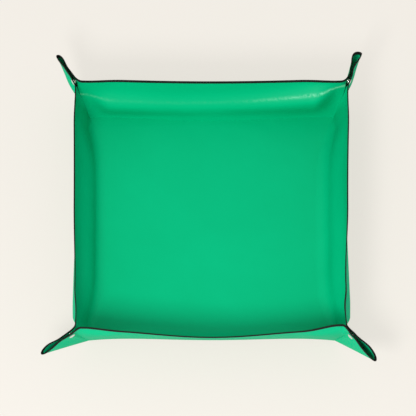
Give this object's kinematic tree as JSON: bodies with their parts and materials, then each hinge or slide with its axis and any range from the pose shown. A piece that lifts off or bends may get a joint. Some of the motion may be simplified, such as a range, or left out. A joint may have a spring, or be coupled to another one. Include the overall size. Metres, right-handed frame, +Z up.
{
  "type": "potting soil tray",
  "caption": "Square waterproof sheet with taped edges, folded into a shallow tray by snap buttons that pinch its corners into ears, and opening out flat.",
  "frame": {"origin": "middle of the floor's underside, where the tray stands", "axes": "+Z up out of the tray, +X to the right and +Y to the back as the picture shows it"},
  "size_m": [0.6213, 0.632, 0.107],
  "materials": {
    "sheet": "glossy waterproof coat over a fine weave",
    "edge_tape": "matt woven tape, sewn over the edge",
    "snap_metal": "bright plated metal"
  },
  "bodies": {
    "floor": {"floor_panel": "sheet"},
    "front_wall": {"front_wall": "sheet", "front_wall_edge_tape": "edge_tape"},
    "back_wall": {"back_wall": "sheet", "back_wall_edge_tape": "edge_tape"},
    "left_wall": {"left_wall": "sheet", "left_wall_edge_tape": "edge_tape"},
    "right_wall": {"right_wall": "sheet", "right_wall_edge_tape": "edge_tape"},
    "front_left_ear_front_leaf": {"front_left_ear_front_leaf": "sheet", "front_left_ear_front_leaf_edge_tape": "edge_tape", "front_left_snap_cap": "snap_metal", "front_left_snap_socket": "snap_metal"},
    "front_left_ear_left_leaf": {"front_left_ear_left_leaf": "sheet", "front_left_ear_left_leaf_edge_tape": "edge_tape", "front_left_snap_post": "snap_metal", "front_left_snap_stud": "snap_metal"},
    "front_right_ear_front_leaf": {"front_right_ear_front_leaf": "sheet", "front_right_ear_front_leaf_edge_tape": "edge_tape", "front_right_snap_cap": "snap_metal", "front_right_snap_socket": "snap_metal"},
    "front_right_ear_right_leaf": {"front_right_ear_right_leaf": "sheet", "front_right_ear_right_leaf_edge_tape": "edge_tape", "front_right_snap_post": "snap_metal", "front_right_snap_stud": "snap_metal"},
    "back_right_ear_back_leaf": {"back_right_ear_back_leaf": "sheet", "back_right_ear_back_leaf_edge_tape": "edge_tape", "back_right_snap_post": "snap_metal", "back_right_snap_stud": "snap_metal"},
    "back_right_ear_right_leaf": {"back_right_ear_right_leaf": "sheet", "back_right_ear_right_leaf_edge_tape": "edge_tape", "back_right_snap_cap": "snap_metal", "back_right_snap_socket": "snap_metal"},
    "back_left_ear_back_leaf": {"back_left_ear_back_leaf": "sheet", "back_left_ear_back_leaf_edge_tape": "edge_tape", "back_left_snap_post": "snap_metal", "back_left_snap_stud": "snap_metal"},
    "back_left_ear_left_leaf": {"back_left_ear_left_leaf": "sheet", "back_left_ear_left_leaf_edge_tape": "edge_tape", "back_left_snap_cap": "snap_metal", "back_left_snap_socket": "snap_metal"}
  },
  "joints": [
    {"name": "front_wall_fold", "type": "hinge", "parent": "floor", "child": "front_wall", "pos_m": [0, -0.23, 0.0003], "axis": [1, 0, 0], "range_deg": [0, 66.8]},
    {"name": "back_wall_fold", "type": "hinge", "parent": "floor", "child": "back_wall", "pos_m": [0, 0.23, 0.0003], "axis": [-1, 0, 0], "range_deg": [0, 66.8]},
    {"name": "left_wall_fold", "type": "hinge", "parent": "floor", "child": "left_wall", "pos_m": [-0.23, 0, 0.0003], "axis": [0, -1, 0], "range_deg": [0, 66.8]},
    {"name": "right_wall_fold", "type": "hinge", "parent": "floor", "child": "right_wall", "pos_m": [0.23, 0, 0.0003], "axis": [0, 1, 0], "range_deg": [0, 66.8]},
    {"name": "front_left_front_leaf_fold", "type": "hinge", "parent": "front_wall", "child": "front_left_ear_front_leaf", "pos_m": [-0.23, -0.23, 0.0003], "axis": [0.2104, 0.2568, -0.9433], "range_deg": [0, 28.3]},
    {"name": "front_left_left_leaf_fold", "type": "hinge", "parent": "left_wall", "child": "front_left_ear_left_leaf", "pos_m": [-0.23, -0.23, 0.0003], "axis": [-0.2568, -0.2104, 0.9433], "range_deg": [0, 52]},
    {"name": "front_right_front_leaf_fold", "type": "hinge", "parent": "front_wall", "child": "front_right_ear_front_leaf", "pos_m": [0.23, -0.23, 0.0003], "axis": [0.2113, -0.2568, 0.9431], "range_deg": [0, 42.1]},
    {"name": "front_right_right_leaf_fold", "type": "hinge", "parent": "right_wall", "child": "front_right_ear_right_leaf", "pos_m": [0.23, -0.23, 0.0003], "axis": [-0.2568, 0.2113, -0.9431], "range_deg": [0, 38.2]},
    {"name": "back_right_back_leaf_fold", "type": "hinge", "parent": "back_wall", "child": "back_right_ear_back_leaf", "pos_m": [0.23, 0.23, 0.0003], "axis": [-0.2073, -0.257, -0.9439], "range_deg": [0, 64]},
    {"name": "back_right_right_leaf_fold", "type": "hinge", "parent": "right_wall", "child": "back_right_ear_right_leaf", "pos_m": [0.23, 0.23, 0.0003], "axis": [0.257, 0.2073, 0.9439], "range_deg": [0, 16.6]},
    {"name": "back_left_back_leaf_fold", "type": "hinge", "parent": "back_wall", "child": "back_left_ear_back_leaf", "pos_m": [-0.23, 0.23, 0.0003], "axis": [-0.2098, 0.2569, 0.9434], "range_deg": [0, 55]},
    {"name": "back_left_left_leaf_fold", "type": "hinge", "parent": "left_wall", "child": "back_left_ear_left_leaf", "pos_m": [-0.23, 0.23, 0.0003], "axis": [0.2569, -0.2098, -0.9434], "range_deg": [0, 25.4]}
  ],
  "couplings": [
    {"joint": "back_wall_fold", "follows": "front_wall_fold", "ratio": 1},
    {"joint": "left_wall_fold", "follows": "front_wall_fold", "ratio": 1},
    {"joint": "right_wall_fold", "follows": "front_wall_fold", "ratio": 1},
    {"joint": "front_left_front_leaf_fold", "follows": "front_wall_fold", "ratio": 0.42308},
    {"joint": "front_left_left_leaf_fold", "follows": "front_wall_fold", "ratio": 0.77786},
    {"joint": "front_right_front_leaf_fold", "follows": "front_wall_fold", "ratio": 0.62957},
    {"joint": "front_right_right_leaf_fold", "follows": "front_wall_fold", "ratio": 0.57044},
    {"joint": "back_right_back_leaf_fold", "follows": "front_wall_fold", "ratio": 0.9567},
    {"joint": "back_right_right_leaf_fold", "follows": "front_wall_fold", "ratio": 0.24744},
    {"joint": "back_left_back_leaf_fold", "follows": "front_wall_fold", "ratio": 0.82247},
    {"joint": "back_left_left_leaf_fold", "follows": "front_wall_fold", "ratio": 0.37904}
  ]
}
